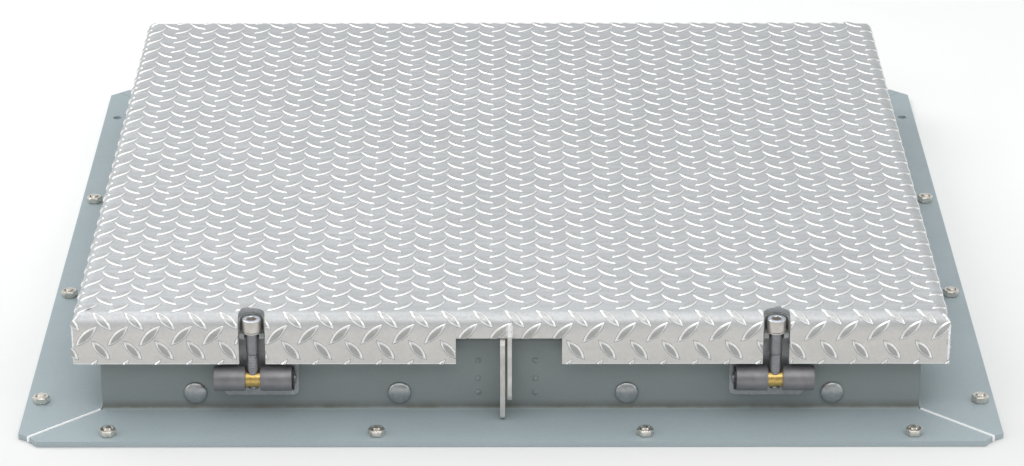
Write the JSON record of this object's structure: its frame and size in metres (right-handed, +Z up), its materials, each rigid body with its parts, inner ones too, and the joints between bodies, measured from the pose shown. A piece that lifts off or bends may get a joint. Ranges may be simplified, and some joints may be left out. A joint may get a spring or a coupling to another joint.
{
  "type": "deck hatch",
  "caption": "Flanged boat deck hatch: rear-hinged tread-plate lid on a square coaming, with swing-bolt latches and a padlock hasp.",
  "frame": {"origin": "centre of the bounding box at the underside of the deck flange", "axes": "+X to the right seen from the latch side, +Y from the latch side to the hinge side, +Z up out of the deck"},
  "size_m": [0.988, 0.962, 0.1196],
  "materials": {
    "coated": "satin grey coating",
    "tread": "bright tread plate",
    "grey": "satin grey",
    "zinc": "yellow passivated zinc",
    "screw": "dull alloy steel",
    "nickel": "plated steel",
    "dark": "dark sleeve",
    "pocket": "dark grey-green",
    "rubber": "matt black"
  },
  "bodies": {
    "frame": {"coaming_front": "coated", "coaming_rear": "coated", "coaming_left": "coated", "coaming_right": "coated", "flange_bolt_front_1": "nickel", "flange_bolt_front_2": "nickel", "flange_bolt_front_3": "nickel", "flange_bolt_front_4": "nickel", "flange_bolt_left_1": "nickel", "flange_bolt_left_2": "nickel", "flange_bolt_left_3": "nickel", "flange_bolt_right_1": "nickel", "flange_bolt_right_2": "nickel", "flange_bolt_right_3": "nickel", "carriage_bolt_1": "grey", "carriage_bolt_2": "grey", "carriage_bolt_3": "grey", "carriage_bolt_4": "grey", "latch_base_left": "grey", "latch_base_right": "grey", "latch_barrel_left_outer": "grey", "latch_barrel_left_inner": "grey", "latch_barrel_right_outer": "grey", "latch_barrel_right_inner": "grey", "latch_ring_left": "dark", "latch_ring_right": "dark", "hasp_frame_lug": "grey", "hasp_backing_plate": "grey", "hasp_rivet_1": "grey", "hasp_rivet_2": "grey", "hasp_rivet_3": "grey", "hasp_rivet_4": "grey", "hasp_rivet_5": "grey", "hasp_rivet_6": "grey", "hinge_frame_leaf_left": "grey", "hinge_frame_leaf_right": "grey", "hinge_pin_left": "nickel", "hinge_pin_right": "nickel", "stay_catch": "coated"},
    "lid": {"lid_plate": "tread", "lid_stiffener_left": "tread", "lid_stiffener_right": "tread", "gasket_channel": "tread", "gasket": "rubber", "latch_pocket_left": "pocket", "latch_pocket_right": "pocket", "hasp_lid_lug": "grey", "hinge_lid_leaf_left": "grey", "hinge_lid_leaf_right": "grey", "stay_bracket": "grey"},
    "stay": {"stay_rod": "nickel"},
    "left_latch_pin": {"latch_pin_left": "zinc"},
    "left_latch_washer": {"latch_washer_left": "screw"},
    "left_latch_screw": {"latch_screw_left": "screw"},
    "right_latch_pin": {"latch_pin_right": "zinc"},
    "right_latch_washer": {"latch_washer_right": "screw"},
    "right_latch_screw": {"latch_screw_right": "screw"}
  },
  "joints": [
    {"name": "lid_hinge", "type": "hinge", "parent": "frame", "child": "lid", "pos_m": [0, 0.4378, 0.075], "axis": [-1, 0, 0], "range_deg": [0, 100]},
    {"name": "stay_swing", "type": "hinge", "parent": "lid", "child": "stay", "pos_m": [0.372, 0.1, 0.102], "axis": [1, 0, 0], "range_deg": [0, 145]},
    {"name": "left_latch_swing", "type": "hinge", "parent": "frame", "child": "left_latch_pin", "pos_m": [-0.2597, -0.4222, 0.0476], "axis": [1, 0, 0], "range_deg": [0, 110]},
    {"name": "left_latch_lift", "type": "slide", "parent": "left_latch_pin", "child": "left_latch_washer", "axis": [0, 0, 1], "range_m": [0, 0.0078]},
    {"name": "left_latch_turn", "type": "hinge", "parent": "left_latch_washer", "child": "left_latch_screw", "pos_m": [-0.2597, -0.4222, 0.1014], "axis": [0, 0, 1], "range_deg": [0, 1440]},
    {"name": "right_latch_swing", "type": "hinge", "parent": "frame", "child": "right_latch_pin", "pos_m": [0.2663, -0.4222, 0.0476], "axis": [1, 0, 0], "range_deg": [0, 110]},
    {"name": "right_latch_lift", "type": "slide", "parent": "right_latch_pin", "child": "right_latch_washer", "axis": [0, 0, 1], "range_m": [0, 0.0078]},
    {"name": "right_latch_turn", "type": "hinge", "parent": "right_latch_washer", "child": "right_latch_screw", "pos_m": [0.2663, -0.4222, 0.1014], "axis": [0, 0, 1], "range_deg": [0, 1440]}
  ],
  "couplings": [
    {"joint": "left_latch_turn", "follows": "left_latch_lift", "rad_per_m": 3215.4},
    {"joint": "right_latch_turn", "follows": "right_latch_lift", "rad_per_m": 3215.4}
  ]
}
